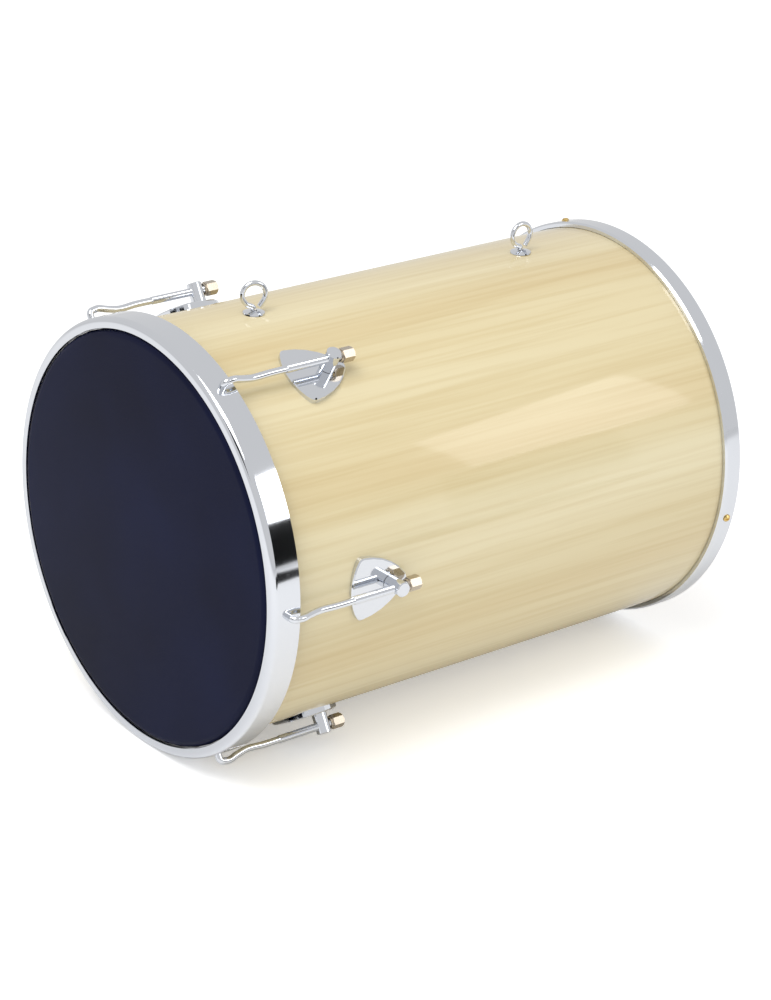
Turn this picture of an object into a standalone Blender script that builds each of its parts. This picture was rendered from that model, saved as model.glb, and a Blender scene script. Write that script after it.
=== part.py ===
"""Rebolo: a long single-headed samba drum, lying on its side.

The head faces -Y, the open end faces +Y and the strap eyes point up (+Z).
The origin is on the floor, under the middle of the drum. Units are metres.

Inside the script every piece is placed in the drum's own frame, which an empty carries:
its origin is the centre of the playing surface, +Y runs down the drum ("depth"),
and the distance from the axis is called "radius". Angles go round the axis from the top
towards +X. The shell, hoop and band are turned; the lugs repeat six times round them.
"""
import math

import bmesh
import bpy
from mathutils import Vector

# Driving dimensions of the drum
DRUM_LENGTH = 0.4412
SHELL_RADIUS = 0.1524
SHELL_WALL = 0.0070
FACETS = 48
SEAT_GAP = 0.0003

# Head: a leatherette skin tucked round a flesh hoop
SKIN_THICKNESS = 0.0008
SKIN_EDGE_ROUND = 0.0050
COLLAR_RADIUS = 0.1519
COLLAR_RELIEF = 0.0008
FLESH_HOOP_WIDTH = 0.0048
FLESH_HOOP_FRONT = 0.0038
FLESH_HOOP_BACK = 0.0092
TUCK_WIDTH = 0.0035

# Tension hoop over the head
HOOP_RADIUS = 0.1615
HOOP_THICKNESS = 0.0016
HOOP_FRONT = 0.0008
HOOP_BACK = 0.0232
HOOP_SHOULDER = 0.0045
HOOP_LIP_RADIUS = 0.1532
HOOK_DEPTH = 0.0134
HOOK_HOLE_RADIUS = 0.0035

# Lugs: plate, post, hooked rod, tuning nut, screw and washer
LUG_COUNT = 6
LUG_FIRST_ANGLE = 30.0
LUG_DEPTH = 0.1050
PLATE_TOP = 0.1554
PLATE_HALF_WIDTH = 0.0235
PLATE_FRONT = 0.0331
PLATE_TAIL = 0.0166
PLATE_BEVEL = 0.0009
POST_RADIUS = 0.00555
POST_TOP = 0.1714
POST_CHAMFER = 0.0007
ROD_RADIUS_FROM_AXIS = 0.1653
ROD_WIRE = 0.0026
ROD_THREAD = 0.0030
ROD_BORE = 0.0034
THREAD_START_DEPTH = 0.0658
NUT_FLATS = 0.0095
NUT_LENGTH = 0.0097
NUT_NECK_RADIUS = 0.0044
NUT_NECK_LENGTH = 0.0018
LUG_SCREW_RADIUS = 0.0022
LUG_SCREW_HEAD_RADIUS = 0.0047
LUG_SCREW_HEAD_HEIGHT = 0.0030
LUG_SCREW_REACH = 0.0045
LUG_WASHER_RADIUS = 0.0070
LUG_WASHER_THICKNESS = 0.0012
CLEARANCE_HOLE = 0.0026

# Strap eyes: bent wire, dished flange outside, washer and nut inside
EYE_DEPTHS = (0.0976, 0.3459)
EYE_TWISTS = (-18.0, 0.0)
EYE_WIRE = 0.0019
EYE_RING = 0.0087
EYE_BEND = 0.0032
EYE_OPEN_ANGLE = -35.0
EYE_TAIL = 0.0052
EYE_HOLE = 0.0023
FLANGE_RADIUS = 0.0080
FLANGE_HEIGHT = 0.0020
EYE_WASHER_RADIUS = 0.0062
EYE_WASHER_THICKNESS = 0.0010
EYE_NUT_FLATS = 0.0072
EYE_NUT_LENGTH = 0.0032
EYE_STEM_PAST_NUT = 0.0012

# Rear band: a pressed steel channel, held by brass screws
BAND_RADIUS = 0.1567
BAND_THICKNESS = 0.0013
BAND_WIDTH = 0.0154
BAND_CHAMFER = 0.0016
BAND_INNER_RADIUS = 0.1459
BAND_SCREW_ANGLES = (-18.0, 102.0, 222.0)
BAND_SCREW_FROM_END = 0.0075
BAND_SCREW_RADIUS = 0.0015
BAND_SCREW_HOLE = 0.0019
BAND_SCREW_HEAD_RADIUS = 0.0030
BAND_SCREW_HEAD_HEIGHT = 0.0019
BAND_SCREW_TIP = 0.1478

# Facet counts of the small round pieces
POST_SIDES = 16
SMALL_SIDES = 12
BORE_SIDES = 12
TUBE_RESOLUTION = 2

# Sizes that follow from the ones above
HALF_FACET = math.pi / FACETS
SHELL_INNER = SHELL_RADIUS - SHELL_WALL
SHELL_INNER_FLAT = SHELL_INNER * math.cos(HALF_FACET)
SHELL_END = DRUM_LENGTH - BAND_THICKNESS - SEAT_GAP - 0.0001
SHELL_RELIEVED = SHELL_RADIUS - COLLAR_RELIEF
AXIS_HEIGHT = HOOP_RADIUS * math.cos(HALF_FACET)
COLLAR_OUTER = COLLAR_RADIUS + SKIN_THICKNESS
FLESH_HOOP_INNER = COLLAR_OUTER + SEAT_GAP
FLESH_HOOP_OUTER = FLESH_HOOP_INNER + FLESH_HOOP_WIDTH
INNER_WASHER_TOP = SHELL_INNER_FLAT - SEAT_GAP - 0.0001
MERGE_DISTANCE = 0.00001


def clear_scene():
    """Remove whatever the file starts with."""
    for old in list(bpy.data.objects):
        bpy.data.objects.remove(old, do_unlink=True)


def make_collection(name):
    """A collection linked under the scene."""
    group = bpy.data.collections.new(name)
    bpy.context.scene.collection.children.link(group)
    return group


def make_material(name, colour, roughness, metallic):
    """A Principled BSDF with one colour, roughness and metallic value."""
    material = bpy.data.materials.new(name)
    material.use_nodes = True
    shader = material.node_tree.nodes["Principled BSDF"]
    shader.inputs["Base Color"].default_value = (*colour, 1.0)
    shader.inputs["Roughness"].default_value = roughness
    shader.inputs["Metallic"].default_value = metallic
    return material


clear_scene()
PARTS = make_collection("rebolo_drum")
CUTTERS = make_collection("cutters")

VENEER = make_material("veneer", (0.78, 0.69, 0.47), 0.35, 0.0)
CHROME = make_material("chrome", (0.62, 0.64, 0.68), 0.12, 1.0)
LEATHERETTE = make_material("leatherette", (0.010, 0.014, 0.045), 0.55, 0.0)
HOOP_ALLOY = make_material("hoop_alloy", (0.66, 0.66, 0.67), 0.40, 1.0)
NICKEL = make_material("nickel", (0.55, 0.50, 0.44), 0.30, 1.0)
ZINC = make_material("zinc", (0.50, 0.51, 0.53), 0.35, 1.0)
BRASS = make_material("brass", (0.72, 0.55, 0.22), 0.30, 1.0)


def add_empty(name, parent=None, location=(0.0, 0.0, 0.0), rotation=(0.0, 0.0, 0.0)):
    """An empty that carries the pieces modelled round it."""
    empty = bpy.data.objects.new(name, None)
    empty.empty_display_size = 0.02
    empty.parent = parent
    empty.location = location
    empty.rotation_euler = rotation
    PARTS.objects.link(empty)
    return empty


def add_piece(name, mesh, material, parent, location=(0.0, 0.0, 0.0), rotation=(0.0, 0.0, 0.0)):
    """A named piece of the drum."""
    piece = bpy.data.objects.new(name, mesh)
    if not mesh.materials:
        mesh.materials.append(material)
    piece.parent = parent
    piece.location = location
    piece.rotation_euler = rotation
    PARTS.objects.link(piece)
    return piece


def add_cutter(name, mesh, parent, location=(0.0, 0.0, 0.0), rotation=(0.0, 0.0, 0.0), group=CUTTERS):
    """A shape that only cuts others: shown as wire and left out of the model."""
    cutter = bpy.data.objects.new(name, mesh)
    cutter.parent = parent
    cutter.location = location
    cutter.rotation_euler = rotation
    cutter.hide_render = True
    cutter.display_type = "WIRE"
    group.objects.link(cutter)
    return cutter


def cut(piece, cutter, operation="DIFFERENCE"):
    """Cut a piece with one cutter, or keep only what lies inside it."""
    boolean = piece.modifiers.new(cutter.name, "BOOLEAN")
    boolean.operation = operation
    boolean.object = cutter


def cut_with_all(piece, group):
    """Cut a piece with every cutter of a collection."""
    boolean = piece.modifiers.new(group.name, "BOOLEAN")
    boolean.operation = "DIFFERENCE"
    boolean.operand_type = "COLLECTION"
    boolean.collection = group


def smooth(mesh, angle=35.0):
    """Smooth shading with the real edges kept sharp."""
    mesh.shade_smooth()
    mesh.set_sharp_from_angle(angle=math.radians(angle))


def profile_mesh(name, profile, closed):
    """The half section of a turned piece, in the XZ plane: points of (radius, height)."""
    mesh = bpy.data.meshes.new(name)
    points = [(radius, 0.0, height) for radius, height in profile]
    edges = [(index, index + 1) for index in range(len(points) - 1)]
    if closed:
        edges.append((len(points) - 1, 0))
    mesh.from_pydata(points, edges, [])
    return mesh


def turn(piece, sides):
    """Turn a piece's half section once round its own Z axis."""
    screw = piece.modifiers.new("turned", "SCREW")
    screw.axis = "Z"
    screw.angle = math.tau
    screw.steps = sides
    screw.render_steps = sides
    screw.use_merge_vertices = True
    screw.merge_threshold = MERGE_DISTANCE
    screw.use_smooth_shade = True


def round_drum(name, profile, material, parent, closed=True):
    """A piece turned about the drum's axis, with one facet facing straight down."""
    along_drum = (-math.pi / 2.0, HALF_FACET, 0.0)
    piece = add_piece(name, profile_mesh(name, profile, closed), material, parent, rotation=along_drum)
    turn(piece, FACETS)
    return piece


def cylinder_mesh(name, radius, length, sides):
    """A cylinder along Z, centred on its own origin."""
    mesh = bpy.data.meshes.new(name)
    shape = bmesh.new()
    bmesh.ops.create_cone(shape, cap_ends=True, segments=sides,
                          radius1=radius, radius2=radius, depth=length)
    shape.to_mesh(mesh)
    shape.free()
    return mesh


def box_mesh(name, size):
    """A box centred on its own origin."""
    mesh = bpy.data.meshes.new(name)
    shape = bmesh.new()
    bmesh.ops.create_cube(shape, size=1.0)
    bmesh.ops.scale(shape, vec=Vector(size), verts=shape.verts)
    shape.to_mesh(mesh)
    shape.free()
    return mesh


def arc(centre, radius, start, end, steps):
    """Points on an arc, from one angle to another in degrees, both ends included."""
    points = []
    for step in range(steps + 1):
        angle = math.radians(start + (end - start) * step / steps)
        points.append((centre[0] + radius * math.cos(angle), centre[1] + radius * math.sin(angle)))
    return points


def smooth_route(route, steps):
    """Points on a smooth curve through the route's own points (Catmull-Rom)."""
    padded = [route[0]] + list(route) + [route[-1]]
    points = []
    for index in range(1, len(padded) - 2):
        before, here, there, after = (Vector(p) for p in padded[index - 1:index + 3])
        for step in range(steps):
            t = step / steps
            point = (here * 2.0
                     + (there - before) * t
                     + (before * 2.0 - here * 5.0 + there * 4.0 - after) * t * t
                     + (here * 3.0 - before - there * 3.0 + after) * t * t * t) * 0.5
            points.append(point)
    points.append(Vector(route[-1]))
    return points


def wire_mesh(name, points, wire, radii=None):
    """A round wire along a route of points, with closed ends, as a welded mesh."""
    curve = bpy.data.curves.new(name, "CURVE")
    curve.dimensions = "3D"
    curve.bevel_depth = wire
    curve.bevel_resolution = TUBE_RESOLUTION
    curve.use_fill_caps = True
    curve.render_resolution_u = 0
    spline = curve.splines.new("POLY")
    spline.points.add(len(points) - 1)
    for index, point in enumerate(points):
        spline.points[index].co = (*point, 1.0)
        if radii:
            spline.points[index].radius = radii[index]
    return welded_mesh(name, curve)


def welded_mesh(name, curve):
    """A curve's solid as a plain mesh, with its caps joined on."""
    guide = bpy.data.objects.new(name + "_curve", curve)
    CUTTERS.objects.link(guide)
    depsgraph = bpy.context.evaluated_depsgraph_get()
    mesh = bpy.data.meshes.new_from_object(guide.evaluated_get(depsgraph))
    mesh.name = name
    bpy.data.objects.remove(guide, do_unlink=True)
    shape = bmesh.new()
    shape.from_mesh(mesh)
    bmesh.ops.remove_doubles(shape, verts=shape.verts, dist=MERGE_DISTANCE)
    bmesh.ops.recalc_face_normals(shape, faces=shape.faces)
    shape.to_mesh(mesh)
    shape.free()
    smooth(mesh)
    return mesh


def chamfered_hex(name, flats, length, bore, material, parent, location, rotation=(0.0, 0.0, 0.0),
                  neck_radius=None, neck_length=0.0):
    """A hexagonal nut along its own Z: a bored, chamfered turning cut to six flats.

    Its origin is on its axis, at the face that bears on the work. A round neck, where it has
    one, is on that side.
    """
    corner = flats / 2.0 / math.cos(math.pi / 6.0)
    chamfer = corner - flats / 2.0
    top = neck_length + length
    section = [(bore, top), (flats / 2.0 - chamfer * 0.3, top), (corner, top - chamfer)]
    section += [(corner, neck_length + chamfer * 0.6), (flats / 2.0, neck_length)]
    if neck_radius:
        section += [(neck_radius, neck_length), (neck_radius, 0.0)]
    section.append((bore, 0.0))
    nut = add_piece(name, profile_mesh(name, section, True), material, parent, location, rotation)
    turn(nut, BORE_SIDES)
    hexagon = cylinder_mesh(name + "_flats", corner, top * 3.0, 6)
    flats_cutter = add_cutter(name + "_flats", hexagon, parent, location, rotation)
    cut(nut, flats_cutter, "INTERSECT")
    return nut


def washer(name, radius, hole, thickness, material, parent, top):
    """A flat washer whose outer face is at the given radius of the drum."""
    section = [(radius, top), (radius, top - thickness), (hole, top - thickness), (hole, top)]
    piece = add_piece(name, profile_mesh(name, section, True), material, parent)
    turn(piece, SMALL_SIDES)
    return piece


def slotted_screw(name, shank, reach, head, head_height, material, parent, shoulder, outwards):
    """A screw along its parent's Z with its head seated at a shoulder height.

    The head points away from the drum's axis where outwards is true, and into the drum
    otherwise. The slot is as deep as half the head.
    """
    dome = head_height * 0.45
    if outwards:
        crown = shoulder + head_height
        section = [(0.0, crown), (head * 0.55, crown - dome * 0.25), (head, shoulder + dome * 0.6)]
        section += [(head, shoulder), (shank, shoulder), (shank, reach + shank), (0.0, reach)]
    else:
        crown = shoulder - head_height
        section = [(0.0, reach), (shank, reach - shank * 0.5), (shank, shoulder), (head, shoulder)]
        section += [(head, crown + dome), (head * 0.7, crown), (0.0, crown)]
    screw = add_piece(name, profile_mesh(name, section, False), material, parent)
    turn(screw, SMALL_SIDES)
    slot = box_mesh(name + "_slot", (head * 0.3, head * 3.0, head_height))
    cut(screw, add_cutter(name + "_slot", slot, parent, (0.0, 0.0, crown)))
    return screw


def add_shell(drum, drills):
    """The wooden shell: a plain cylinder, relieved and rounded where the head goes over it."""
    edge_inset = SKIN_THICKNESS + 0.00035
    section = [
        (SHELL_RADIUS, SHELL_END),
        (SHELL_RADIUS, 0.0172),
        (SHELL_RELIEVED, 0.0158),
        (SHELL_RELIEVED, 0.0057),
        (SHELL_RELIEVED - 0.00155, 0.00255),
        (SHELL_RELIEVED - 0.0047, edge_inset),
        (SHELL_INNER, 0.0026),
        (SHELL_INNER, SHELL_END),
    ]
    shell = round_drum("shell", section, VENEER, drum)
    cut_with_all(shell, drills)
    return shell


def add_head(drum):
    """The skin: a flat disc, a rounded edge, and a collar tucked round the flesh hoop."""
    back = FLESH_HOOP_BACK + SEAT_GAP
    front = FLESH_HOOP_FRONT - SEAT_GAP
    outer = FLESH_HOOP_OUTER + SEAT_GAP
    tuck_end = outer - TUCK_WIDTH
    corner = 0.0014
    section = [
        (0.0, SKIN_THICKNESS),
        (COLLAR_RADIUS - SKIN_EDGE_ROUND + 0.0001, SKIN_THICKNESS),
        (COLLAR_RADIUS - 0.0016, SKIN_THICKNESS + 0.0014),
        (COLLAR_RADIUS, SKIN_THICKNESS + 0.0047),
        (COLLAR_RADIUS, back + SKIN_THICKNESS),
        (outer + SKIN_THICKNESS, back + SKIN_THICKNESS),
        (outer + SKIN_THICKNESS, front + 0.0011),
        (outer - 0.0005, front - SKIN_THICKNESS + 0.0001),
        (tuck_end, front - SKIN_THICKNESS + 0.0001),
        (tuck_end, front),
        (outer - 0.0009, front),
        (outer, front + corner),
        (outer, back),
        (COLLAR_OUTER, back),
        (COLLAR_OUTER, SKIN_THICKNESS + 0.0045),
        (COLLAR_OUTER - 0.0018, 0.0015),
        (COLLAR_OUTER - SKIN_EDGE_ROUND - 0.0004, 0.0),
        (0.0, 0.0),
    ]
    round_drum("head_skin", section, LEATHERETTE, drum, closed=False)
    flesh_hoop = [
        (FLESH_HOOP_INNER, FLESH_HOOP_BACK),
        (FLESH_HOOP_OUTER, FLESH_HOOP_BACK),
        (FLESH_HOOP_OUTER, FLESH_HOOP_FRONT + 0.0015),
        (FLESH_HOOP_OUTER - 0.0010, FLESH_HOOP_FRONT),
        (FLESH_HOOP_INNER, FLESH_HOOP_FRONT),
    ]
    round_drum("flesh_hoop", flesh_hoop, HOOP_ALLOY, drum)


def add_front_hoop(drum, drills):
    """The tension hoop: a straight skirt, a round shoulder and a lip that bears on the head."""
    shoulder = (HOOP_RADIUS - HOOP_SHOULDER, HOOP_FRONT + HOOP_SHOULDER)
    lip_back = HOOP_FRONT + HOOP_THICKNESS
    section = [(HOOP_RADIUS, HOOP_BACK)]
    section += arc(shoulder, HOOP_SHOULDER, 0.0, -90.0, 4)
    section += [(HOOP_LIP_RADIUS + 0.0004, HOOP_FRONT)]
    section += [(HOOP_LIP_RADIUS, HOOP_FRONT + 0.0004)]
    section += [(HOOP_LIP_RADIUS, lip_back)]
    section += arc(shoulder, HOOP_SHOULDER - HOOP_THICKNESS, -90.0, 0.0, 3)
    section += [(HOOP_RADIUS - HOOP_THICKNESS, HOOP_BACK)]
    hoop = round_drum("front_hoop", section, CHROME, drum)
    cut_with_all(hoop, drills)
    return hoop


def add_rear_band(drum, drills):
    """The rear band: a channel with its front edge folded to the shell and its back over the end."""
    inner_wall = BAND_RADIUS - BAND_THICKNESS
    front = DRUM_LENGTH - BAND_WIDTH
    touch = SHELL_RADIUS + SEAT_GAP + 0.00005
    section = [
        (BAND_RADIUS - BAND_CHAMFER, DRUM_LENGTH),
        (BAND_RADIUS, DRUM_LENGTH - BAND_CHAMFER),
        (BAND_RADIUS, front + BAND_CHAMFER),
        (BAND_RADIUS - BAND_THICKNESS, front),
        (touch, front),
        (touch, front + BAND_THICKNESS),
        (inner_wall - 0.0003, front + BAND_THICKNESS),
        (inner_wall, front + BAND_THICKNESS + 0.0008),
        (inner_wall, DRUM_LENGTH - BAND_THICKNESS),
        (BAND_INNER_RADIUS, DRUM_LENGTH - BAND_THICKNESS),
        (BAND_INNER_RADIUS, DRUM_LENGTH),
    ]
    band = round_drum("rear_band", section, CHROME, drum)
    cut_with_all(band, drills)
    return band


def plate_outline():
    """Half of the pick-shaped lug plate, as (across, along) points from the hoop side to the tail.

    The blunt side is one wide arc. A small arc rounds the corner, and a long one runs to the
    rounded tail, where the two sides meet.
    """
    wide = 0.0440
    corner = 0.0048
    tail = 0.0075
    corner_centre = (PLATE_HALF_WIDTH - corner, -PLATE_FRONT + 0.0098)
    tail_centre = (0.0, PLATE_TAIL - tail)
    side = 0.0520
    front = arc((0.0, -PLATE_FRONT + wide), wide, -90.0, -66.0, 4)
    bend = arc(corner_centre, corner, -60.0, 2.0, 3)
    span = Vector(tail_centre) - Vector(corner_centre)
    outward = Vector((-span.y, span.x)).normalized() * -1.0
    middle = (Vector(corner_centre) + Vector(tail_centre)) / 2.0
    reach = math.sqrt((side - corner) ** 2 - (span.length / 2.0) ** 2)
    side_centre = middle - outward * reach
    flank = []
    for share in (0.2, 0.4, 0.6, 0.8, 1.0):
        target = Vector(corner_centre).lerp(Vector(tail_centre), share)
        radius = side + (tail - corner) * 0.5 * share
        direction = (target - side_centre).normalized()
        flank.append(tuple(side_centre + direction * radius))
    last = Vector(flank[-1]) - Vector(tail_centre)
    start = math.degrees(math.atan2(last.y, last.x))
    point = arc(tail_centre, last.length, start, 90.0, 3)
    return front + bend + flank + point[1:]


def plate_mesh():
    """The lug plate as a thick bevelled slab, centred on its post; its underside is cut later."""
    half = plate_outline()
    outline = half + [(-across, along) for across, along in reversed(half[1:-1])]
    curve = bpy.data.curves.new("lug_plate", "CURVE")
    curve.dimensions = "2D"
    curve.fill_mode = "BOTH"
    slab = 0.0062
    curve.extrude = slab / 2.0 - PLATE_BEVEL
    curve.bevel_depth = PLATE_BEVEL
    curve.bevel_resolution = 0
    curve.offset = -PLATE_BEVEL
    curve.render_resolution_u = 0
    spline = curve.splines.new("POLY")
    spline.points.add(len(outline) - 1)
    spline.use_cyclic_u = True
    for index, (across, along) in enumerate(outline):
        spline.points[index].co = (across, along, PLATE_TOP - slab / 2.0, 1.0)
    return welded_mesh("lug_plate", curve)


def rod_route():
    """The hooked rod from its threaded end to its tip: (depth, radius) points and wire sizes.

    It runs straight through the post, dips a little, humps over the hoop's skirt and turns in
    through the skirt's hole.
    """
    end = LUG_DEPTH + POST_RADIUS + SEAT_GAP + NUT_NECK_LENGTH + NUT_LENGTH - 0.0005
    straight = [(end, ROD_RADIUS_FROM_AXIS), (THREAD_START_DEPTH, ROD_RADIUS_FROM_AXIS)]
    step = [(THREAD_START_DEPTH - 0.0004, ROD_RADIUS_FROM_AXIS)]
    bends = smooth_route([
        (0.0520, ROD_RADIUS_FROM_AXIS),
        (0.0385, 0.1645),
        (0.0285, 0.1662),
        (0.0215, 0.1681),
        (0.0168, 0.1677),
    ], 2)
    turn_radius = 0.0034
    centre = (HOOK_DEPTH + turn_radius, 0.1643)
    hook = arc(centre, turn_radius, 90.0, 180.0, 4)[1:]
    tip = [(HOOK_DEPTH, 0.1563)]
    route = straight + step + [tuple(p) for p in bends] + hook + tip
    wire_from = len(straight)
    sizes = [ROD_THREAD / ROD_WIRE if index < wire_from else 1.0 for index in range(len(route))]
    return route, sizes


def rod_mesh():
    """The hooked rod, along its lug's own Y and Z."""
    route, sizes = rod_route()
    points = [(0.0, depth - LUG_DEPTH, radius) for depth, radius in route]
    return wire_mesh("hook_rod", points, ROD_WIRE, sizes)


def add_post(name, lug):
    """The post: a turned pin with a blind hole in its foot and a cross bore for the rod."""
    foot = PLATE_TOP + SEAT_GAP
    blind = foot + LUG_SCREW_REACH + 0.0010
    section = [
        (0.0, POST_TOP),
        (POST_RADIUS - POST_CHAMFER, POST_TOP),
        (POST_RADIUS, POST_TOP - POST_CHAMFER),
        (POST_RADIUS, foot),
        (CLEARANCE_HOLE, foot),
        (CLEARANCE_HOLE, blind),
        (0.0, blind),
    ]
    post = add_piece(name, profile_mesh(name, section, False), CHROME, lug)
    turn(post, POST_SIDES)
    bore = cylinder_mesh(name + "_bore", ROD_BORE, POST_RADIUS * 4.0, BORE_SIDES)
    bore_at = (0.0, 0.0, ROD_RADIUS_FROM_AXIS)
    cut(post, add_cutter(name + "_bore", bore, lug, bore_at, (math.pi / 2.0, 0.0, 0.0)))
    return post


def add_lugs(drum, shell_drills, hoop_drills, plate_seat):
    """Six lugs, each modelled upright on an empty that stands on the drum's axis."""
    plate = plate_mesh()
    rod = rod_mesh()
    screw_hole = cylinder_mesh("lug_hole", CLEARANCE_HOLE, 0.020, SMALL_SIDES)
    hook_hole = cylinder_mesh("hook_hole", HOOK_HOLE_RADIUS, 0.012, BORE_SIDES)
    for index in range(LUG_COUNT):
        number = str(index + 1)
        angle = math.radians(LUG_FIRST_ANGLE + index * 360.0 / LUG_COUNT)
        lug = add_empty("lug_" + number, drum, (0.0, LUG_DEPTH, 0.0), (0.0, angle, 0.0))
        hole_at = (0.0, 0.0, SHELL_RADIUS)
        drill = add_cutter("lug_hole_" + number, screw_hole, lug, hole_at, group=shell_drills)
        hook_at = (0.0, HOOK_DEPTH - LUG_DEPTH, HOOP_RADIUS)
        add_cutter("hook_hole_" + number, hook_hole, lug, hook_at, group=hoop_drills)
        lug_plate = add_piece("lug_plate_" + number, plate, CHROME, lug)
        cut(lug_plate, plate_seat)
        cut(lug_plate, drill)
        add_post("lug_post_" + number, lug)
        add_piece("hook_rod_" + number, rod, CHROME, lug)
        nut_face = POST_RADIUS + SEAT_GAP
        nut_at = (0.0, nut_face, ROD_RADIUS_FROM_AXIS)
        chamfered_hex("tuning_nut_" + number, NUT_FLATS, NUT_LENGTH, ROD_BORE, NICKEL, lug, nut_at,
                      (-math.pi / 2.0, 0.0, 0.0), NUT_NECK_RADIUS, NUT_NECK_LENGTH)
        washer("lug_washer_" + number, LUG_WASHER_RADIUS, CLEARANCE_HOLE, LUG_WASHER_THICKNESS,
               ZINC, lug, INNER_WASHER_TOP)
        shoulder = INNER_WASHER_TOP - LUG_WASHER_THICKNESS - SEAT_GAP
        slotted_screw("lug_screw_" + number, LUG_SCREW_RADIUS, PLATE_TOP + LUG_SCREW_REACH,
                      LUG_SCREW_HEAD_RADIUS, LUG_SCREW_HEAD_HEIGHT, ZINC, lug, shoulder, False)


def eye_route():
    """The strap eye's wire from its cut end, round the ring and down the stem: (along, height)."""
    flange_top = SHELL_RADIUS + 0.0002 + FLANGE_HEIGHT
    centre = (0.0, flange_top + EYE_RING + EYE_BEND)
    leave = 180.0 + math.degrees(math.acos(EYE_BEND / (EYE_RING + EYE_BEND)))
    ring = arc(centre, EYE_RING, EYE_OPEN_ANGLE, leave, 16)
    start = math.radians(EYE_OPEN_ANGLE)
    tail = (ring[0][0] + math.sin(start) * EYE_TAIL, ring[0][1] - math.cos(start) * EYE_TAIL)
    leave_angle = math.radians(leave)
    spread = EYE_RING + EYE_BEND
    bend_centre = (spread * math.cos(leave_angle), centre[1] + spread * math.sin(leave_angle))
    bend = arc(bend_centre, EYE_BEND, leave - 180.0, 0.0, 4)[1:]
    stem_end = INNER_WASHER_TOP - EYE_WASHER_THICKNESS - SEAT_GAP - EYE_NUT_LENGTH - EYE_STEM_PAST_NUT
    return [tail] + ring + bend + [(0.0, stem_end)]


def add_eyes(drum, shell_drills):
    """Two strap eyes on top: bent wire, dished flange, inner washer and nut."""
    route = eye_route()
    eye_points = [(0.0, along, height) for along, height in route]
    wire = wire_mesh("strap_eye", eye_points, EYE_WIRE)
    hole = cylinder_mesh("eye_hole", EYE_HOLE, 0.020, SMALL_SIDES)
    base = SHELL_RADIUS + 0.0002
    flange_section = [
        (EYE_HOLE, base + FLANGE_HEIGHT),
        (EYE_HOLE + 0.0012, base + FLANGE_HEIGHT),
        (FLANGE_RADIUS * 0.72, base + FLANGE_HEIGHT * 0.72),
        (FLANGE_RADIUS - 0.0003, base + FLANGE_HEIGHT * 0.45),
        (FLANGE_RADIUS, base),
        (EYE_HOLE, base),
    ]
    for index, depth in enumerate(EYE_DEPTHS):
        number = str(index + 1)
        twist = math.radians(EYE_TWISTS[index])
        station = add_empty("eye_" + number, drum, (0.0, depth, 0.0))
        add_cutter("eye_hole_" + number, hole, station, (0.0, 0.0, SHELL_RADIUS), group=shell_drills)
        add_piece("strap_eye_" + number, wire, CHROME, station, rotation=(0.0, 0.0, twist))
        name = "eye_flange_" + number
        flange = add_piece(name, profile_mesh(name, flange_section, True), CHROME, station)
        turn(flange, BORE_SIDES)
        washer("eye_washer_" + number, EYE_WASHER_RADIUS, EYE_HOLE, EYE_WASHER_THICKNESS, ZINC,
               station, INNER_WASHER_TOP)
        nut_at = (0.0, 0.0, INNER_WASHER_TOP - EYE_WASHER_THICKNESS - SEAT_GAP)
        chamfered_hex("eye_nut_" + number, EYE_NUT_FLATS, EYE_NUT_LENGTH, EYE_HOLE, ZINC, station,
                      nut_at, (math.pi, 0.0, 0.0))


def add_band_screws(drum, shell_drills, band_drills):
    """Three brass screws through the rear band into the wood."""
    hole = cylinder_mesh("band_screw_hole", BAND_SCREW_HOLE, 0.014, SMALL_SIDES)
    hole_at = (0.0, 0.0, BAND_SCREW_TIP - SEAT_GAP + 0.007)
    for index, degrees in enumerate(BAND_SCREW_ANGLES):
        number = str(index + 1)
        depth = DRUM_LENGTH - BAND_SCREW_FROM_END
        station = add_empty("band_screw_station_" + number, drum, (0.0, depth, 0.0),
                            (0.0, math.radians(degrees), 0.0))
        drill = add_cutter("band_screw_hole_" + number, hole, station, hole_at, group=shell_drills)
        band_drills.objects.link(drill)
        shoulder = BAND_RADIUS + 0.0002
        slotted_screw("band_screw_" + number, BAND_SCREW_RADIUS, BAND_SCREW_TIP,
                      BAND_SCREW_HEAD_RADIUS, BAND_SCREW_HEAD_HEIGHT, BRASS, station, shoulder, True)


def build():
    """Put the drum together round its axis."""
    drum = add_empty("drum_axis", None, (0.0, -DRUM_LENGTH / 2.0, AXIS_HEIGHT))
    shell_drills = make_collection("shell_drills")
    hoop_drills = make_collection("hoop_drills")
    band_drills = make_collection("band_drills")
    seat_mesh = cylinder_mesh("plate_seat", SHELL_RADIUS + SEAT_GAP, 0.080, FACETS)
    seat_at = (0.0, LUG_DEPTH - 0.005, 0.0)
    plate_seat = add_cutter("plate_seat", seat_mesh, drum, seat_at, (-math.pi / 2.0, HALF_FACET, 0.0))
    add_lugs(drum, shell_drills, hoop_drills, plate_seat)
    add_eyes(drum, shell_drills)
    add_band_screws(drum, shell_drills, band_drills)
    add_shell(drum, shell_drills)
    add_head(drum)
    add_front_hoop(drum, hoop_drills)
    add_rear_band(drum, band_drills)


build()
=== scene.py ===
# %% [markdown]
# # A rebolo drum
# A rebolo is a long samba drum with one playing head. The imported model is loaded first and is
# the fixed frame: every finer piece below sits where it says. The drum lies on its side, its
# head faces -Y, and its strap eyes point up.

# %% Load the frame
import math

import bmesh
import bpy
from mathutils import Matrix, Vector


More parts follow.
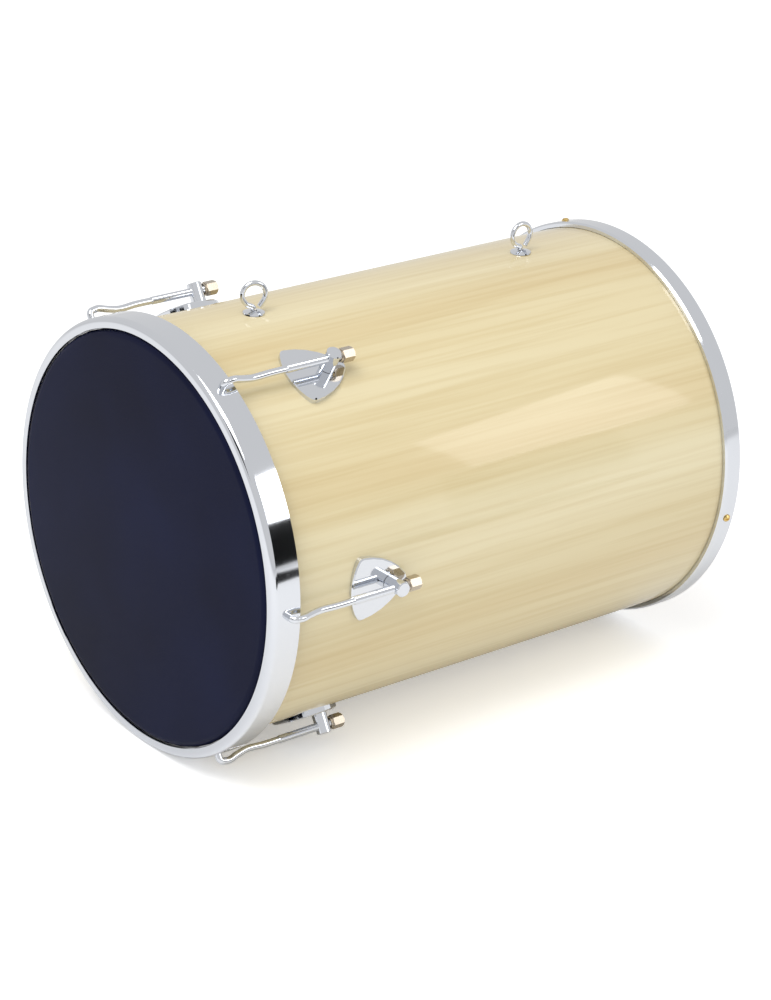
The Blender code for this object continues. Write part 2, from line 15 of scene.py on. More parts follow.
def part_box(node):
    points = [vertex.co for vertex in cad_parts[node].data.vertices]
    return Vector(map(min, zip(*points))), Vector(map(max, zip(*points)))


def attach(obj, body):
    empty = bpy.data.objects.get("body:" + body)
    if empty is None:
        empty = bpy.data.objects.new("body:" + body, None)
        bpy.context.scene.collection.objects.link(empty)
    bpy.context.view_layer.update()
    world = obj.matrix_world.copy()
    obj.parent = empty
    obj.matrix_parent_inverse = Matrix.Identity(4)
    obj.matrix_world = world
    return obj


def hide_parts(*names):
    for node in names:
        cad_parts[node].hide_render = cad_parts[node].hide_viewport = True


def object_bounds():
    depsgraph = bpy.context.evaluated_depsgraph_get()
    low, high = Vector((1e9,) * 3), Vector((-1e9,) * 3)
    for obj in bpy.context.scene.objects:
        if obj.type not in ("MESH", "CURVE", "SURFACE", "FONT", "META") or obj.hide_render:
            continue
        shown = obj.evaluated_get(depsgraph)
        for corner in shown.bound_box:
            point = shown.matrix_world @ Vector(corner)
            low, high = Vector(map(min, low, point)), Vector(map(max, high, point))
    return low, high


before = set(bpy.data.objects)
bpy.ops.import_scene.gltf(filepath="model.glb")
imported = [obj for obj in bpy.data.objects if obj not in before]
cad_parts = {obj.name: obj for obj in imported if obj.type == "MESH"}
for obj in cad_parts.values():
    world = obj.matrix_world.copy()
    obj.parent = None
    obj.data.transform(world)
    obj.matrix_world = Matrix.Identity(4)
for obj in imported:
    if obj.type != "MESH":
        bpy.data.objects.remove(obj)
cad_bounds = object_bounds()
drum_front = cad_bounds[0][1]
drum_length = cad_bounds[1][1] - cad_bounds[0][1]
shell_low, shell_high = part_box("shell")
axis_height = (shell_low[2] + shell_high[2]) / 2.0
print("drum length", round(drum_length, 4), "axis height", round(axis_height, 4))

# %% [markdown]
# ## Places on the drum
# Two kinds of place are enough here. One looks down the drum's axis from the head, for the big
# rings. The other stands up from the axis at an angle, for a lug or an eye. Each piece is
# modelled where that is simple, and a matrix then puts its mesh in place.

# %% Places
LAID_ALONG = Matrix.Rotation(-math.pi / 2.0, 4, "X")
ALONG_DRUM = Matrix.Translation((0.0, drum_front, axis_height)) @ LAID_ALONG


def around(angle_degrees, depth):
    """The place of a piece that stands up from the axis at an angle, at a depth."""
    spot = Matrix.Translation((0.0, drum_front + depth, axis_height))
    return spot @ Matrix.Rotation(math.radians(angle_degrees), 4, "Y")


# %% [markdown]
# ## Turned pieces
# The shell, head, hoop, band, posts and dishes are each round about one axis, so each is a half
# section swept round it. A Screw modifier could do that. A short loop is used here instead,
# because it puts the mesh straight in its place. A half section is a list of (radius, height)
# points that closes on itself, and its rounded corners are arcs.

# %% An arc
def arc(centre, radius, start, end, steps):
    """Points on an arc between two angles in degrees."""
    points = []
    for step in range(steps + 1):
        angle = math.radians(start + (end - start) * step / steps)
        across = centre[0] + radius * math.cos(angle)
        along = centre[1] + radius * math.sin(angle)
        points.append((across, along))
    return points


# %% The turning helper
MERGE_DISTANCE = 0.000001
TURNED_EDGE_ANGLE = 30.0


def finished_mesh(name, shape, edge_angle):
    """Join doubled points, face outwards, and shade smooth between the real edges."""
    bmesh.ops.remove_doubles(shape, verts=shape.verts, dist=MERGE_DISTANCE)
    bmesh.ops.recalc_face_normals(shape, faces=shape.faces)
    mesh = bpy.data.meshes.new(name)
    shape.to_mesh(mesh)
    shape.free()
    mesh.shade_smooth()
    mesh.set_sharp_from_angle(angle=math.radians(edge_angle))
    return mesh


def turned_mesh(name, section, steps, place):
    """Sweep a closed half section round the local Z axis; section points are (radius, height)."""
    shape = bmesh.new()
    rings = []
    for step in range(steps):
        angle = math.tau * step / steps
        ring = []
        for radius, height in section:
            point = Vector((radius * math.sin(angle), radius * math.cos(angle), height))
            ring.append(shape.verts.new(place @ point))
        rings.append(ring)
    count = len(section)
    for step in range(steps):
        here = rings[step]
        there = rings[(step + 1) % steps]
        for index in range(count):
            after = (index + 1) % count
            shape.faces.new((here[index], here[after], there[after], there[index]))
    return finished_mesh(name, shape, TURNED_EDGE_ANGLE)


def add_object(name, mesh, material):
    """Link a finished mesh into the scene with its material."""
    mesh.materials.clear()
    mesh.materials.append(material)
    piece = bpy.data.objects.new(name, mesh)
    bpy.context.scene.collection.objects.link(piece)
    return piece


# %% [markdown]
# ## Grain
# Veneer has broad cream and tan bands, fine lines and pores, and all of them run along the drum.
# A noise that is stretched along the drum makes each. It is built once as a node group, whose
# inputs say how fine it is across the grain and along it. An image could be wrapped round
# instead, but it would show a join on a cylinder.

# %% A streak group for grain
def value_input(group, name, default):
    """A number that a group takes in."""
    socket = group.interface.new_socket(name=name, in_out="INPUT", socket_type="NodeSocketFloat")
    socket.default_value = default


def make_streak_group():
    """Streaks that run along the drum: a stretched noise, as a mask from 0 to 1."""
    group = bpy.data.node_groups.new("long_streaks", "ShaderNodeTree")
    value_input(group, "Across", 40.0)
    value_input(group, "Along", 2.0)
    value_input(group, "Detail", 4.0)
    group.interface.new_socket(name="Mask", in_out="OUTPUT", socket_type="NodeSocketFloat")
    nodes = group.nodes
    links = group.links
    taken = nodes.new("NodeGroupInput")
    given = nodes.new("NodeGroupOutput")
    place = nodes.new("ShaderNodeTexCoord")
    stretch = nodes.new("ShaderNodeCombineXYZ")
    scaled = nodes.new("ShaderNodeVectorMath")
    scaled.operation = "MULTIPLY"
    noise = nodes.new("ShaderNodeTexNoise")
    noise.inputs["Scale"].default_value = 1.0
    links.new(taken.outputs["Across"], stretch.inputs["X"])
    links.new(taken.outputs["Along"], stretch.inputs["Y"])
    links.new(taken.outputs["Across"], stretch.inputs["Z"])
    links.new(place.outputs["Object"], scaled.inputs[0])
    links.new(stretch.outputs["Vector"], scaled.inputs[1])
    links.new(scaled.outputs["Vector"], noise.inputs["Vector"])
    links.new(taken.outputs["Detail"], noise.inputs["Detail"])
    links.new(noise.outputs["Fac"], given.inputs["Mask"])
    return group


LONG_STREAKS = make_streak_group()
print(LONG_STREAKS.name, "has", len(LONG_STREAKS.nodes), "nodes")

# %% [markdown]
# ## Steps that finishes share
# Every finish on the drum is a Principled shader whose colour, roughness or normal varies over
# the surface. These helpers make one, put the streak group in it, turn a mask into colours,
# darken one colour by another, and feed a height into the normal.

# %% Finish helpers
def new_finish(name, colour, roughness, metallic):
    """A Principled finish, with its shader, nodes and links returned for more work."""
    material = bpy.data.materials.new(name)
    material.use_nodes = True
    nodes = material.node_tree.nodes
    shader = nodes["Principled BSDF"]
    shader.inputs["Base Color"].default_value = (*colour, 1.0)
    shader.inputs["Roughness"].default_value = roughness
    shader.inputs["Metallic"].default_value = metallic
    return material, shader, nodes, material.node_tree.links


def streaks(nodes, across, along, detail):
    """One use of the streak group."""
    node = nodes.new("ShaderNodeGroup")
    node.node_tree = LONG_STREAKS
    node.inputs["Across"].default_value = across
    node.inputs["Along"].default_value = along
    node.inputs["Detail"].default_value = detail
    return node.outputs["Mask"]


def ramp(nodes, links, mask, stops):
    """A colour ramp from a mask: stops are (position, colour)."""
    node = nodes.new("ShaderNodeValToRGB")
    while len(node.color_ramp.elements) < len(stops):
        node.color_ramp.elements.new(0.5)
    for element, (position, colour) in zip(node.color_ramp.elements, stops):
        element.position = position
        element.color = (*colour, 1.0)
    links.new(mask, node.inputs["Fac"])
    return node.outputs["Color"]


def darken(nodes, links, amount, first, second):
    """Multiply the first colour by the second."""
    node = nodes.new("ShaderNodeMix")
    node.data_type = "RGBA"
    node.blend_type = "MULTIPLY"
    node.inputs["Factor"].default_value = amount
    links.new(first, node.inputs["A"])
    links.new(second, node.inputs["B"])
    return node.outputs["Result"]


def add_bump(nodes, links, shader, height, strength, distance):
    """Feed a height into the shader's normal."""
    bump = nodes.new("ShaderNodeBump")
    bump.inputs["Strength"].default_value = strength
    bump.inputs["Distance"].default_value = distance
    links.new(height, bump.inputs["Height"])
    links.new(bump.outputs["Normal"], shader.inputs["Normal"])


# %% [markdown]
# ## The veneer
# The shell is wrapped in pale veneer under gloss varnish. The varnish is a coat on the shader,
# so the wood below can stay satin while the lamps still glint on top. Broad bands give the
# colour, finer streaks darken them as grain lines, and the finest are pores in the bump. The
# three band colours are close to each other, because this wood is quiet.

# %% Make the veneer
VENEER_BASE = (0.6, 0.5, 0.3)
TAN_BAND = (0.62, 0.50, 0.27)
CREAM_BAND = (0.66, 0.56, 0.33)
LIGHT_BAND = (0.72, 0.64, 0.42)
GRAIN_LINE = (0.90, 0.86, 0.78)
NO_LINE = (1.0, 1.0, 1.0)
LINE_STRENGTH = 0.85
COAT_WEIGHT = 0.7
COAT_ROUGHNESS = 0.06


def make_veneer():
    """Pale varnished veneer: broad cream and tan bands, fine grain, a clear coat."""
    material, shader, nodes, links = new_finish("pale_veneer", VENEER_BASE, 0.32, 0.0)
    broad = streaks(nodes, across=14.0, along=0.7, detail=2.0)
    bands = ramp(nodes, links, broad, [(0.30, TAN_BAND), (0.46, CREAM_BAND), (0.70, LIGHT_BAND)])
    fine = streaks(nodes, across=220.0, along=5.0, detail=5.0)
    lines = ramp(nodes, links, fine, [(0.30, GRAIN_LINE), (0.58, NO_LINE)])
    wood = darken(nodes, links, LINE_STRENGTH, bands, lines)
    links.new(wood, shader.inputs["Base Color"])
    shader.inputs["Coat Weight"].default_value = COAT_WEIGHT
    shader.inputs["Coat Roughness"].default_value = COAT_ROUGHNESS
    pores = streaks(nodes, across=700.0, along=18.0, detail=3.0)
    add_bump(nodes, links, shader, pores, strength=0.12, distance=0.0004)
    return material


VENEER = make_veneer()
print("finish:", VENEER.name)

# %% [markdown]
# ## The metals
# Chrome, nickel, zinc plate, bare alloy and brass differ in colour and polish, so one function
# makes all five. Real metal is never evenly bright. A cloudy noise therefore moves the
# roughness a little.

# %% Make the metals
CLOUD_SCALE = 60.0
CLOUD_DETAIL = 4.0


def make_metal(name, colour, roughness, variation):
    """A metal with faint cloudy wear in its roughness."""
    material, shader, nodes, links = new_finish(name, colour, roughness, 1.0)
    place = nodes.new("ShaderNodeTexCoord")
    noise = nodes.new("ShaderNodeTexNoise")
    noise.inputs["Scale"].default_value = CLOUD_SCALE
    noise.inputs["Detail"].default_value = CLOUD_DETAIL
    links.new(place.outputs["Object"], noise.inputs["Vector"])
    spread = nodes.new("ShaderNodeMapRange")
    spread.inputs["To Min"].default_value = roughness
    spread.inputs["To Max"].default_value = roughness + variation
    links.new(noise.outputs["Fac"], spread.inputs["Value"])
    links.new(spread.outputs["Result"], shader.inputs["Roughness"])
    return material


CHROME = make_metal("bright_chrome", (0.72, 0.74, 0.78), roughness=0.05, variation=0.05)
NICKEL = make_metal("worn_nickel", (0.52, 0.46, 0.38), roughness=0.20, variation=0.12)
ZINC = make_metal("zinc_plate", (0.52, 0.53, 0.55), roughness=0.28, variation=0.12)
ALLOY = make_metal("mill_alloy", (0.66, 0.66, 0.67), roughness=0.35, variation=0.10)
BRASS = make_metal("plain_brass", (0.72, 0.52, 0.20), roughness=0.25, variation=0.10)
for metal in (CHROME, NICKEL, ZINC, ALLOY, BRASS):
    print("finish:", metal.name)

# %% [markdown]
# ## The leatherette
# The head is dark blue leatherette. White surroundings would wash the blue out, so its specular
# level is low. A slow noise moves the tone, and a pattern of small cells is its pebble. The
# pebble is a bump, because it is far too fine for a mesh.

# %% Make the leatherette
LEATHER_BASE = (0.004, 0.007, 0.030)
DEEP_BLUE = (0.0012, 0.0025, 0.018)
SOFT_BLUE = (0.0030, 0.0060, 0.034)
TONE_SCALE = 9.0
PEBBLE_SCALE = 1500.0
LEATHER_SPECULAR = 0.12


def make_leatherette():
    """Dark blue leatherette with a fine pebble and slow changes of tone."""
    material, shader, nodes, links = new_finish("blue_leatherette", LEATHER_BASE, 0.55, 0.0)
    place = nodes.new("ShaderNodeTexCoord")
    cloud = nodes.new("ShaderNodeTexNoise")
    cloud.inputs["Scale"].default_value = TONE_SCALE
    links.new(place.outputs["Object"], cloud.inputs["Vector"])
    tint = ramp(nodes, links, cloud.outputs["Fac"], [(0.3, DEEP_BLUE), (0.8, SOFT_BLUE)])
    links.new(tint, shader.inputs["Base Color"])
    shader.inputs["Specular IOR Level"].default_value = LEATHER_SPECULAR
    pebble = nodes.new("ShaderNodeTexVoronoi")
    pebble.inputs["Scale"].default_value = PEBBLE_SCALE
    links.new(place.outputs["Object"], pebble.inputs["Vector"])
    add_bump(nodes, links, shader, pebble.outputs["Distance"], strength=0.25, distance=0.0002)
    return material


LEATHERETTE = make_leatherette()
print("finish:", LEATHERETTE.name)

# %% [markdown]
# ## The four big rings
# The frame's rings have few sides, and chrome would show them as flats. Finer rings take their
# places, with much the same sections. They are left whole: the holes that the rods and screws
# go through are in the frame's own rings only.

# %% The ring helper
ROUND_STEPS = 288


def big_ring(name, section, material, node, body):
    """A fine turned ring that takes a node's place."""
    piece = add_object(name, turned_mesh(name, section, ROUND_STEPS, ALONG_DRUM), material)
    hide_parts(node)
    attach(piece, body)
    print(name, "has", len(piece.data.polygons), "faces")


# %% [markdown]
# The shell is a plain cylinder, open at the back. Near the head it is relieved a little, so that
# the head's collar slips over, and its front edge slopes in.

# %% The shell
SHELL_RADIUS = 0.1524
SHELL_INNER = 0.1454
SHELL_RELIEVED = 0.1516
RELIEF_STARTS = 0.0172
RELIEF_FULL = 0.0158
SLOPE_STARTS = 0.0057
SLOPE_IN = 0.0047
EDGE_DEPTH = 0.0012
INSIDE_DEPTH = 0.0026
shell_end = shell_high[1] - drum_front
shell_section = [
    (SHELL_RADIUS, shell_end),
    (SHELL_RADIUS, RELIEF_STARTS),
    (SHELL_RELIEVED, RELIEF_FULL),
    (SHELL_RELIEVED, SLOPE_STARTS),
    (SHELL_RELIEVED - SLOPE_IN, EDGE_DEPTH),
    (SHELL_INNER, INSIDE_DEPTH),
    (SHELL_INNER, shell_end),
]
big_ring("veneered_shell", shell_section, VENEER, "shell", "drum")

# %% [markdown]
# The head is one sheet. It goes over the shell's edge in a rounded corner and down a short
# collar, and is tucked round the flesh hoop. From the front only the face and the corner show.
# From behind, the back of the tuck shows inside the tension hoop's skirt, and a plain wedge
# stands for it. The wedge runs through the flesh hoop instead of going round it.

# %% The head
SKIN = 0.0008
HEAD_EDGE = 0.1519
CORNER_ROUND = 0.0055
CORNER_INSIDE_WIDTH = 0.0052
CORNER_INSIDE_DEPTH = 0.0050
COLLAR_BACK = 0.0095
WEDGE_BACK_REACH = 0.0062
WEDGE_REACH = 0.0070
WEDGE_FRONT_REACH = 0.0069
WEDGE_FRONT = 0.0048
WEDGE_ROOT = 0.0075
corner_centre = (HEAD_EDGE + SKIN - CORNER_ROUND, CORNER_ROUND)
head_section = [
    (0.0, SKIN),
    (HEAD_EDGE - CORNER_INSIDE_WIDTH, SKIN),
    (HEAD_EDGE, SKIN + CORNER_INSIDE_DEPTH),
    (HEAD_EDGE, COLLAR_BACK),
    (HEAD_EDGE + WEDGE_BACK_REACH, COLLAR_BACK + SKIN),
    (HEAD_EDGE + WEDGE_REACH, COLLAR_BACK),
    (HEAD_EDGE + WEDGE_FRONT_REACH, WEDGE_FRONT),
    (HEAD_EDGE + SKIN, WEDGE_ROOT),
]
head_section += arc(corner_centre, CORNER_ROUND, 0.0, -90.0, 8)
head_section.append((0.0, 0.0))
big_ring("leatherette_head", head_section, LEATHERETTE, "head_skin", "tension_head")

# %% [markdown]
# The tension hoop is sheet metal: a straight skirt, a round shoulder, and a lip that presses the
# flesh hoop down. The shoulder's outside and inside are arcs about one centre, a wall apart, as
# a bend in sheet metal is.

# %% The tension hoop
HOOP_RADIUS = 0.1615
HOOP_WALL = 0.0016
HOOP_FRONT = 0.0008
HOOP_BACK = 0.0232
SHOULDER = 0.0045
LIP_RADIUS = 0.1533
LIP_EASE = 0.0003
shoulder_centre = (HOOP_RADIUS - SHOULDER, HOOP_FRONT + SHOULDER)
hoop_section = [(HOOP_RADIUS, HOOP_BACK)]
hoop_section += arc(shoulder_centre, SHOULDER, 0.0, -90.0, 12)
hoop_section += [
    (LIP_RADIUS + LIP_EASE, HOOP_FRONT),
    (LIP_RADIUS, HOOP_FRONT + LIP_EASE),
    (LIP_RADIUS, HOOP_FRONT + HOOP_WALL),
]
hoop_section += arc(shoulder_centre, SHOULDER - HOOP_WALL, -90.0, 0.0, 8)
hoop_section.append((HOOP_RADIUS - HOOP_WALL, HOOP_BACK))
big_ring("tension_hoop", hoop_section, CHROME, "front_hoop", "tension_head")

# %% [markdown]
# The band at the open end is a channel. Its front edge folds down to the wood, and its back
# edge folds in over the shell's end round a small corner.

# %% The band
BAND_RADIUS = 0.1567
BAND_WIDTH = 0.0154
BAND_WALL = 0.0013
BAND_CORNER = 0.0016
BAND_FILLET = 0.0005
BAND_LIP = 0.1459
BAND_FOOT = 0.15275
band_inside = BAND_RADIUS - BAND_WALL
band_front = drum_length - BAND_WIDTH
band_corner_centre = (BAND_RADIUS - BAND_CORNER, drum_length - BAND_CORNER)
band_section = [(BAND_LIP, drum_length)]
band_section += arc(band_corner_centre, BAND_CORNER, 90.0, 0.0, 6)
band_section += [
    (BAND_RADIUS, band_front + BAND_CORNER),
    (band_inside, band_front),
    (BAND_FOOT, band_front),
    (BAND_FOOT, band_front + BAND_WALL),
    (band_inside, band_front + BAND_WALL + BAND_FILLET),
    (band_inside, drum_length - BAND_WALL),
    (BAND_LIP, drum_length - BAND_WALL),
]
big_ring("open_end_band", band_section, CHROME, "rear_band", "drum")

# %% [markdown]
# ## Wires
# The rods and the strap eyes are bent from round wire, and a curve with a round bevel is the
# natural way to model one. It is then made a plain mesh, because the bevel's end caps are loose
# and have to be joined on.

# %% The wire helper
WIRE_EDGE_ANGLE = 40.0
WIRE_BEVEL_STEPS = 6


def wire_object(name, points, radius, material, place):
    """A round wire along points, as a closed mesh."""
    curve = bpy.data.curves.new(name, "CURVE")
    curve.dimensions = "3D"
    curve.bevel_depth = radius
    curve.bevel_resolution = WIRE_BEVEL_STEPS
    curve.use_fill_caps = True
    spline = curve.splines.new("POLY")
    spline.points.add(len(points) - 1)
    for index, point in enumerate(points):
        spline.points[index].co = (*(place @ Vector(point)), 1.0)
    guide = bpy.data.objects.new(name + "_guide", curve)
    bpy.context.scene.collection.objects.link(guide)
    depsgraph = bpy.context.evaluated_depsgraph_get()
    loose = bpy.data.meshes.new_from_object(guide.evaluated_get(depsgraph))
    bpy.data.objects.remove(guide, do_unlink=True)
    shape = bmesh.new()
    shape.from_mesh(loose)
    bpy.data.meshes.remove(loose)
    return add_object(name, finished_mesh(name, shape, WIRE_EDGE_ANGLE), material)


# %% [markdown]
# A bent wire has no straight runs with sharp joints between them. So a route is a few listed
# points, and a smooth curve is read off through them: between each two points it is a cubic that
# leaves and arrives in line with their neighbours.

# %% A smooth route
def rounded_route(route, steps):
    """A smooth curve that passes through every point of a route."""
    ends = [Vector(point) for point in route]
    padded = [ends[0]] + ends + [ends[-1]]
    points = []
    for index in range(1, len(padded) - 2):
        before, here, there, after = padded[index - 1:index + 3]
        for step in range(steps):
            t = step / steps
            point = here * 2.0
            point += (there - before) * t
            point += (before * 2.0 - here * 5.0 + there * 4.0 - after) * t * t
            point += (here * 3.0 - before - there * 3.0 + after) * t * t * t
            points.append(0.5 * point)
    points.append(padded[-1])
    return points


# %% [markdown]
# ## Tension rods
# Six hooked rods pull the hoop down on the head. Each runs straight out of its post, dips,
# humps over the hoop's skirt and turns in through it.

# %% The rod's route
LUG_DEPTH = 0.105
ROD_HEIGHT = 0.1653
ROD_WIRE = 0.0026
THREAD_START = 0.0658
WIRE_IN_THREAD = 0.0010
HOOK_DEPTH = 0.0134
HOOK_BEND = 0.0034
HOOK_BEND_HEIGHT = 0.1643
HOOK_TIP_HEIGHT = 0.1563
ROD_BENDS = [
    (THREAD_START + WIRE_IN_THREAD, ROD_HEIGHT),
    (0.0520, ROD_HEIGHT),
    (0.0385, 0.1645),
    (0.0285, 0.1662),
    (0.0215, 0.1681),
    (0.0168, 0.1677),
]


def rod_route():
    """The smooth stretch of the rod, in (across, depth from the lug, height)."""
    points = [tuple(point) for point in rounded_route(ROD_BENDS, 6)]
    bend_centre = (HOOK_DEPTH + HOOK_BEND, HOOK_BEND_HEIGHT)
    points += arc(bend_centre, HOOK_BEND, 90.0, 180.0, 10)[1:]
    points.append((HOOK_DEPTH, HOOK_TIP_HEIGHT))
    return [(0.0, depth - LUG_DEPTH, height) for depth, height in points]


# %% [markdown]
# The other end of a rod is threaded. A true thread is a helix. At this size one groove for each
# turn looks the same, and it can be turned as a half section like the rings.

# %% The rod's thread
THREAD_END = 0.1218
THREAD_PITCH = 0.001
THREAD_DEPTH = 0.0004
THREAD_SIDES = 20


def thread_section():
    """A threaded bar's half section: one groove for each turn of the thread."""
    turns = int((THREAD_END - THREAD_START) / THREAD_PITCH)
    section = [(0.0, THREAD_START)]
    for turn in range(turns):
        start = THREAD_START + turn * THREAD_PITCH
        section.append((ROD_WIRE, start))
        section.append((ROD_WIRE + THREAD_DEPTH, start + THREAD_PITCH * 0.5))
    end = THREAD_START + turns * THREAD_PITCH
    section += [(ROD_WIRE, end), (0.0, end)]
    return section


# %% [markdown]
# A lug's post is a turned pin with an eased top. On the real drum it is bored across for the
# rod. The rod fills that hole, so this pin is left solid. The rod and its thread ride on the
# tension head, because they are pulled with it, and the post rides on the drum.

# %% Six rods and posts
LUG_COUNT = 6
LUG_FIRST_ANGLE = 30.0
POST_RADIUS = 0.00555
POST_FOOT = 0.1557
POST_TOP = 0.1714
POST_EASE = 0.0007
POST_SIDES = 48
post_section = [
    (0.0, POST_FOOT),
    (POST_RADIUS, POST_FOOT),
    (POST_RADIUS, POST_TOP - POST_EASE),
    (POST_RADIUS - POST_EASE, POST_TOP),
    (0.0, POST_TOP),
]
for lug in range(LUG_COUNT):
    number = str(lug + 1)
    angle = LUG_FIRST_ANGLE + lug * 360.0 / LUG_COUNT
    stand = around(angle, LUG_DEPTH)
    rod = wire_object("hooked_wire_" + number, rod_route(), ROD_WIRE, CHROME, stand)
    rod_line = around(angle, 0.0) @ Matrix.Translation((0.0, 0.0, ROD_HEIGHT)) @ LAID_ALONG
    thread_mesh = turned_mesh("rod_thread", thread_section(), THREAD_SIDES, rod_line)
    thread = add_object("rod_thread_" + number, thread_mesh, CHROME)
    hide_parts("hook_rod_" + number)
    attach(rod, "tension_head")
    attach(thread, "tension_head")
    post_mesh = turned_mesh("round_post", post_section, POST_SIDES, stand)
    post = add_object("round_post_" + number, post_mesh, CHROME)
    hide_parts("lug_post_" + number)
    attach(post, "drum")
    print("lug", number, "at", angle, "degrees")

# %% [markdown]
# ## Strap eyes
# Each eye is one wire: a short tail, most of a ring, and a bend into the stem. The bend's arc
# touches the ring and the stem, so its centre lies a ring and a bend away from the ring's
# centre, and that gives the angle at which the wire leaves the ring.

# %% The eye's route
EYE_WIRE = 0.0019
EYE_RING = 0.0087
EYE_BEND = 0.0032
EYE_OPEN_ANGLE = -35.0
EYE_TAIL = 0.0052
EYE_STEM_END = 0.1393
FLANGE_TOP = 0.1546


def eye_route():
    """The eye's wire from its cut end, round the ring and down the stem."""
    centre = (0.0, FLANGE_TOP + EYE_RING + EYE_BEND)
    spread = EYE_RING + EYE_BEND
    leave = 180.0 + math.degrees(math.acos(EYE_BEND / spread))
    ring = arc(centre, EYE_RING, EYE_OPEN_ANGLE, leave, 48)
    start = math.radians(EYE_OPEN_ANGLE)
    tail_along = ring[0][0] + math.sin(start) * EYE_TAIL
    tail_height = ring[0][1] - math.cos(start) * EYE_TAIL
    bend_along = spread * math.cos(math.radians(leave))
    bend_height = centre[1] + spread * math.sin(math.radians(leave))
    bend = arc((bend_along, bend_height), EYE_BEND, leave - 180.0, 0.0, 10)[1:]
    flat = [(tail_along, tail_height)] + ring + bend + [(0.0, EYE_STEM_END)]
    return [(0.0, along, height) for along, height in flat]


# %% [markdown]
# A small dished flange sits on the wood under each eye. Its edge is thin and its middle is
# raised, and it is turned like the posts.

# %% Two strap eyes
EYE_HOLE = 0.0023
FLANGE_BASE = 0.1526
FLANGE_RADIUS = 0.0080
DISH_SIDES = 48
DISH_RIM = (0.0078, 0.1535)
DISH_SLOPE = (0.0058, 0.1540)
DISH_CROWN_RADIUS = 0.0035
EYE_STATIONS = (("1", 0.0976, -18.0), ("2", 0.3459, 0.0))
dish = [
    (EYE_HOLE, FLANGE_BASE),
    (FLANGE_RADIUS, FLANGE_BASE),
    DISH_RIM,
    DISH_SLOPE,
    (DISH_CROWN_RADIUS, FLANGE_TOP),
    (EYE_HOLE, FLANGE_TOP),
]
for number, depth, twist in EYE_STATIONS:
    stand = around(0.0, depth)
    twisted = stand @ Matrix.Rotation(math.radians(twist), 4, "Z")
    eye = wire_object("eye_wire_" + number, eye_route(), EYE_WIRE, CHROME, twisted)
    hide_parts("strap_eye_" + number)
    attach(eye, "drum")
    dish_mesh = turned_mesh("eye_dish", dish, DISH_SIDES, stand)
    flange = add_object("eye_dish_" + number, dish_mesh, CHROME)
    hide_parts("eye_flange_" + number)
    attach(flange, "drum")
    print("strap eye", number, "at depth", depth)

# %% [markdown]
# ## Pieces that stay
# The nuts, plates, screws and washers are small, flat-faced or hidden, so the frame's own solids
# are kept for them. They only need their finishes.

# %% Finishes of the pieces that stay
STAYING = {
    "tuning_nut": NICKEL,
    "lug_plate": CHROME,
    "lug_screw": ZINC,
    "lug_washer": ZINC,
    "eye_washer": ZINC,
    "eye_nut": ZINC,
    "band_screw": BRASS,
    "flesh_hoop": ALLOY,
}
staying_count = 0
for node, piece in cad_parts.items():
    for start, material in STAYING.items():
        if node.startswith(start):
            piece.data.materials.clear()
            piece.data.materials.append(material)
            staying_count += 1
print("frame solids finished:", staying_count)

# %% [markdown]
# ## The floor
# The floor is a pale grey card. It glows a little, but only for rays that come from the camera,
# so it looks white without lighting the drum from below. It isn't part of the drum.

# %% A card, and the floor
FLOOR_SIZE = 12.0
FLOOR_COLOUR = (0.93, 0.93, 0.93)
FLOOR_GLOW = 0.35


def plain_card(name, size, place, colour):
    """A flat card that isn't part of the drum."""
    mesh = bpy.data.meshes.new(name)
    shape = bmesh.new()
    bmesh.ops.create_grid(shape, x_segments=1, y_segments=1, size=size)
    bmesh.ops.transform(shape, matrix=place, verts=shape.verts)
    shape.to_mesh(mesh)
    shape.free()
    material, shader = new_finish(name, colour, 1.0, 0.0)[:2]
    shader.inputs["Specular IOR Level"].default_value = 0.0
    card = add_object(name, mesh, material)
    return card


floor = plain_card("floor", FLOOR_SIZE, Matrix.Identity(4), FLOOR_COLOUR)
floor_nodes = floor.data.materials[0].node_tree.nodes
floor_links = floor.data.materials[0].node_tree.links
light_path = floor_nodes.new("ShaderNodeLightPath")
glow = floor_nodes.new("ShaderNodeMath")
glow.operation = "MULTIPLY"
glow.inputs[1].default_value = FLOOR_GLOW
floor_links.new(light_path.outputs["Is Camera Ray"], glow.inputs[0])
floor_shader = floor_nodes["Principled BSDF"]
floor_shader.inputs["Emission Color"].default_value = (1.0, 1.0, 1.0, 1.0)
floor_links.new(glow.outputs["Value"], floor_shader.inputs["Emission Strength"])
print("floor laid")

# %% [markdown]
# ## Dark cards
# Chrome shows only what is round it, and in an all-white studio it looks like white paint. So
# three dark cards are added for it to reflect: one stands at the side, one lies low, and one
# hangs high. The camera doesn't see them, and they cast no shadow.

# %% Three dark cards
DARK = (0.01, 0.01, 0.01)
side_place = Matrix.Translation((2.6, 1.2, 0.6)) @ Matrix.Rotation(math.radians(90.0), 4, "Y")
low_place = Matrix.Translation((1.6, 0.3, 0.02))
high_place = Matrix.Translation((0.6, -2.6, 1.7)) @ Matrix.Rotation(math.radians(70.0), 4, "X")
DARK_CARDS = (
    ("side_card", 0.5, side_place),
    ("low_card", 0.55, low_place),
    ("high_card", 0.45, high_place),
)
for name, size, place in DARK_CARDS:
    card = plain_card(name, size, place, DARK)
    card.visible_camera = False
    card.visible_diffuse = False
    card.visible_shadow = False
    print("card:", name)

# %% [markdown]
# ## Lamps and world
# A white world lights the drum evenly from all round. Two square lamps add direction. Large
# lamps are used, because they give the varnish broad highlights and keep the shadow soft.

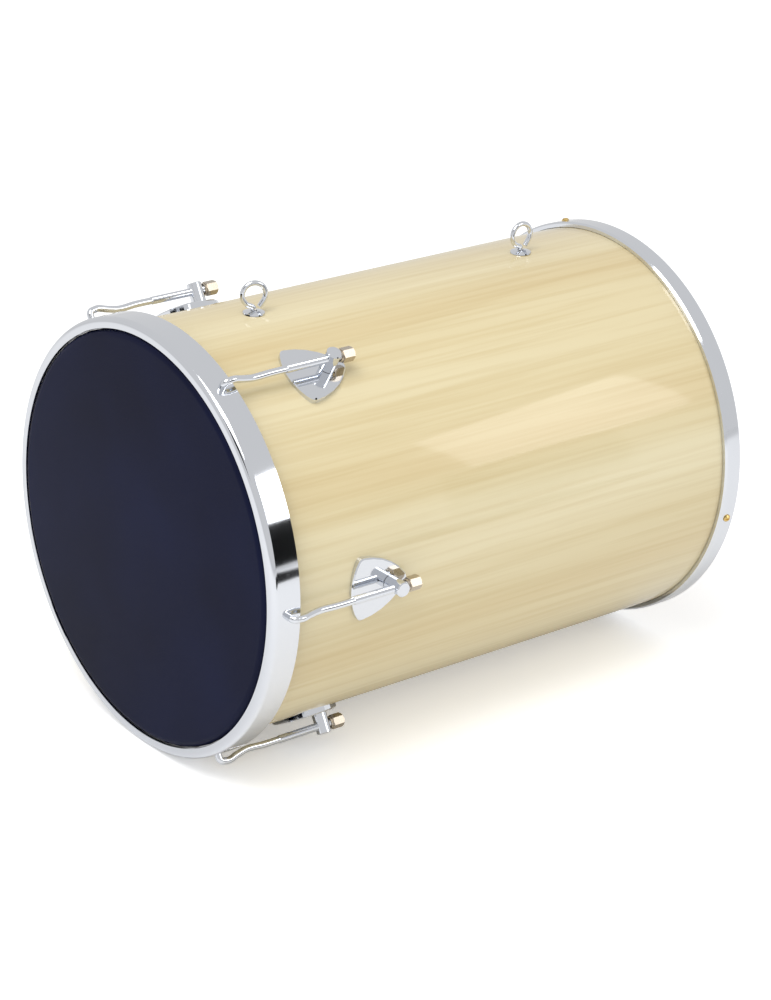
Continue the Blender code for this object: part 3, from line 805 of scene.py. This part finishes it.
# %% Light the drum
LAMP_TARGET = (0.0, 0.0, 0.15)
WORLD_STRENGTH = 0.75


def add_lamp(name, place, size, energy):
    """A soft square lamp aimed at the middle of the drum."""
    lamp = bpy.data.lights.new(name, "AREA")
    lamp.size = size
    lamp.energy = energy
    holder = bpy.data.objects.new(name, lamp)
    holder.location = place
    aim = Vector(LAMP_TARGET) - Vector(place)
    holder.rotation_euler = aim.to_track_quat("-Z", "Y").to_euler()
    bpy.context.scene.collection.objects.link(holder)
    print("lamp:", name, energy)


add_lamp("key", (0.6, -1.2, 2.6), size=1.6, energy=38.0)
add_lamp("fill", (2.4, 1.4, 1.6), size=1.2, energy=12.0)
world = bpy.data.worlds.new("studio")
bpy.context.scene.world = world
world.use_nodes = True
background = world.node_tree.nodes["Background"]
background.inputs["Color"].default_value = (1.0, 1.0, 1.0, 1.0)
background.inputs["Strength"].default_value = WORLD_STRENGTH

# %% [markdown]
# ## Camera
# The camera's place, direction and lens were solved from the hoop, band, eyes and lugs as they
# lie in the photograph. There the drum is turned a little about its own long axis. The drum
# can't be turned in its frame, so the camera leans by that angle instead.

# %% Set the camera
CAMERA_AT = (1.6411, -1.3154, 1.0455)
CAMERA_AZIMUTH = 51.974
CAMERA_ELEVATION = 20.988
DRUM_LEAN = -2.95
FOCAL_MM = 141.5
SENSOR_MM = 36.0
camera_data = bpy.data.cameras.new("camera")
camera_data.lens = FOCAL_MM
camera_data.sensor_width = SENSOR_MM
camera_data.sensor_fit = "HORIZONTAL"
camera = bpy.data.objects.new("camera", camera_data)
turn = Matrix.Rotation(math.radians(CAMERA_AZIMUTH), 4, "Z")
turn = turn @ Matrix.Rotation(math.radians(90.0 - CAMERA_ELEVATION), 4, "X")
lean = Matrix.Rotation(math.radians(DRUM_LEAN), 4, "Y")
camera.matrix_world = Matrix.Translation(CAMERA_AT) @ lean @ turn
bpy.context.scene.collection.objects.link(camera)
bpy.context.scene.camera = camera
bpy.context.scene.view_settings.view_transform = "Standard"
print("camera at", CAMERA_AT, "with a lens of", FOCAL_MM, "mm")
